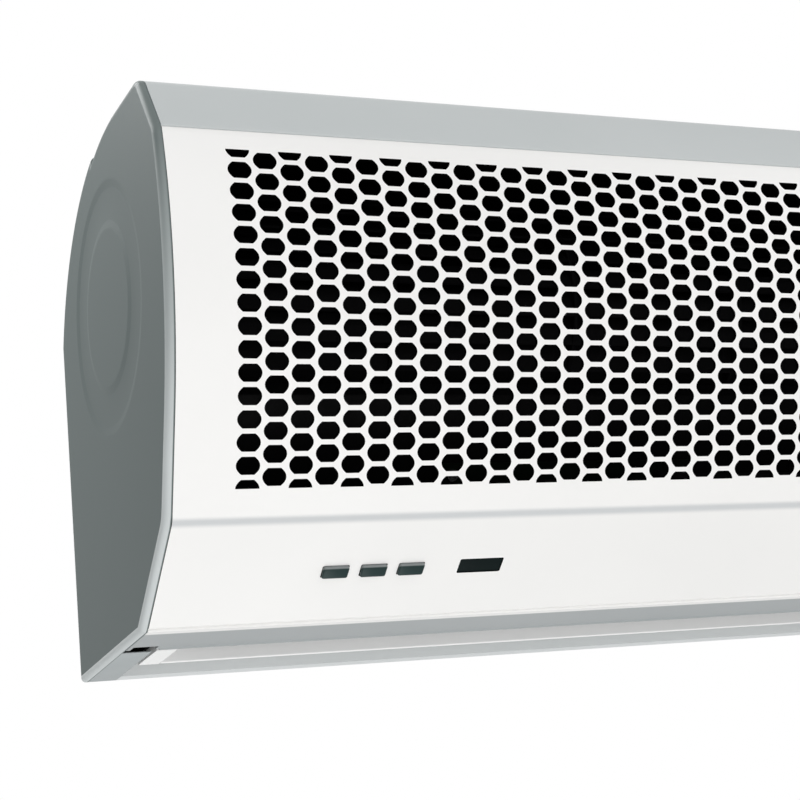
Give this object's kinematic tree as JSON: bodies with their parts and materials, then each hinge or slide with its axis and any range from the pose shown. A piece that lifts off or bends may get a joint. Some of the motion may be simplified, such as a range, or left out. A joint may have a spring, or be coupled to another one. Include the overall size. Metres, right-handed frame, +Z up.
{
  "type": "air curtain",
  "caption": "Wall-mounted cross-flow air curtain with a bowed perforated front, side end caps, push buttons and a bottom outlet slot with a tilting vane.",
  "frame": {"origin": "centre of the wall bracket's four bolt holes, in the wall plane", "axes": "+X to the right along the casing, +Y into the wall (the front faces -Y), +Z up"},
  "size_m": [0.907, 0.173, 0.23],
  "materials": {
    "white_plastic": "satin",
    "grey_steel": "satin paint",
    "end_cap_grey": "fine grain",
    "zinc_steel": "zinc plated",
    "black_steel": "blackened",
    "impeller_black": "matte",
    "bronze": "sintered",
    "black_rubber": "matte",
    "motor_steel": "black paint",
    "core_iron": "varnished",
    "bright_steel": "plain",
    "button_grey": "satin",
    "window_black": "gloss",
    "board_green": "lacquered",
    "black_plastic": "matte"
  },
  "bodies": {
    "casing": {"front_panel": "white_plastic", "top_cover": "grey_steel", "rear_shell": "grey_steel", "wall_bracket": "zinc_steel", "outlet_front_wall": "grey_steel", "scroll_wall": "grey_steel", "left_end_cap": "end_cap_grey", "right_end_cap": "end_cap_grey", "left_end_frame": "black_steel", "right_end_frame": "black_steel", "left_motor_frame": "black_steel", "right_motor_frame": "black_steel", "left_bearing": "bronze", "right_bearing": "bronze", "left_bearing_cushion": "black_rubber", "right_bearing_cushion": "black_rubber", "left_vane_bracket": "white_plastic", "right_vane_bracket": "white_plastic", "motor_housing": "motor_steel", "motor_stator": "core_iron", "motor_bushes": "bronze", "motor_cushions": "black_rubber", "button_board": "board_green", "button_switches": "black_plastic", "infrared_window": "window_black", "infrared_receiver": "black_plastic", "control_board": "board_green", "board_posts": "black_plastic", "relays": "black_plastic", "transformer": "black_plastic", "run_capacitor": "black_plastic", "capacitor_clip": "black_steel", "terminal_block": "black_plastic", "cable_grommet": "black_rubber", "mains_lead": "black_rubber", "motor_lead": "black_rubber", "button_lead": "black_rubber", "end_cap_screws": "bright_steel", "cover_screws": "bright_steel", "shell_screws": "bright_steel", "panel_screws": "bright_steel", "board_screws": "bright_steel"},
    "rotor": {"motor_rotor": "core_iron", "motor_shaft": "bright_steel", "left_impeller": "impeller_black", "right_impeller": "impeller_black", "hub_screws": "bright_steel"},
    "vane": {"deflector_vane": "white_plastic", "vane_pins": "bright_steel"},
    "high_button": {"high_button": "button_grey"},
    "low_button": {"low_button": "button_grey"},
    "off_button": {"off_button": "button_grey"}
  },
  "joints": [
    {"name": "fan_spin", "type": "hinge", "parent": "casing", "child": "rotor", "pos_m": [0, -0.085, 0.068], "axis": [1, 0, 0], "continuous": true},
    {"name": "vane_tilt", "type": "hinge", "parent": "casing", "child": "vane", "pos_m": [0, -0.036, -0.0596], "axis": [1, 0, 0], "range_deg": [-30, 30]},
    {"name": "high_button_press", "type": "slide", "parent": "casing", "child": "high_button", "axis": [0, 0.6428, 0.766], "range_m": [0, 0.001], "stiffness_N_per_m": 600},
    {"name": "low_button_press", "type": "slide", "parent": "casing", "child": "low_button", "axis": [0, 0.6428, 0.766], "range_m": [0, 0.001], "stiffness_N_per_m": 600},
    {"name": "off_button_press", "type": "slide", "parent": "casing", "child": "off_button", "axis": [0, 0.6428, 0.766], "range_m": [0, 0.001], "stiffness_N_per_m": 600}
  ]
}
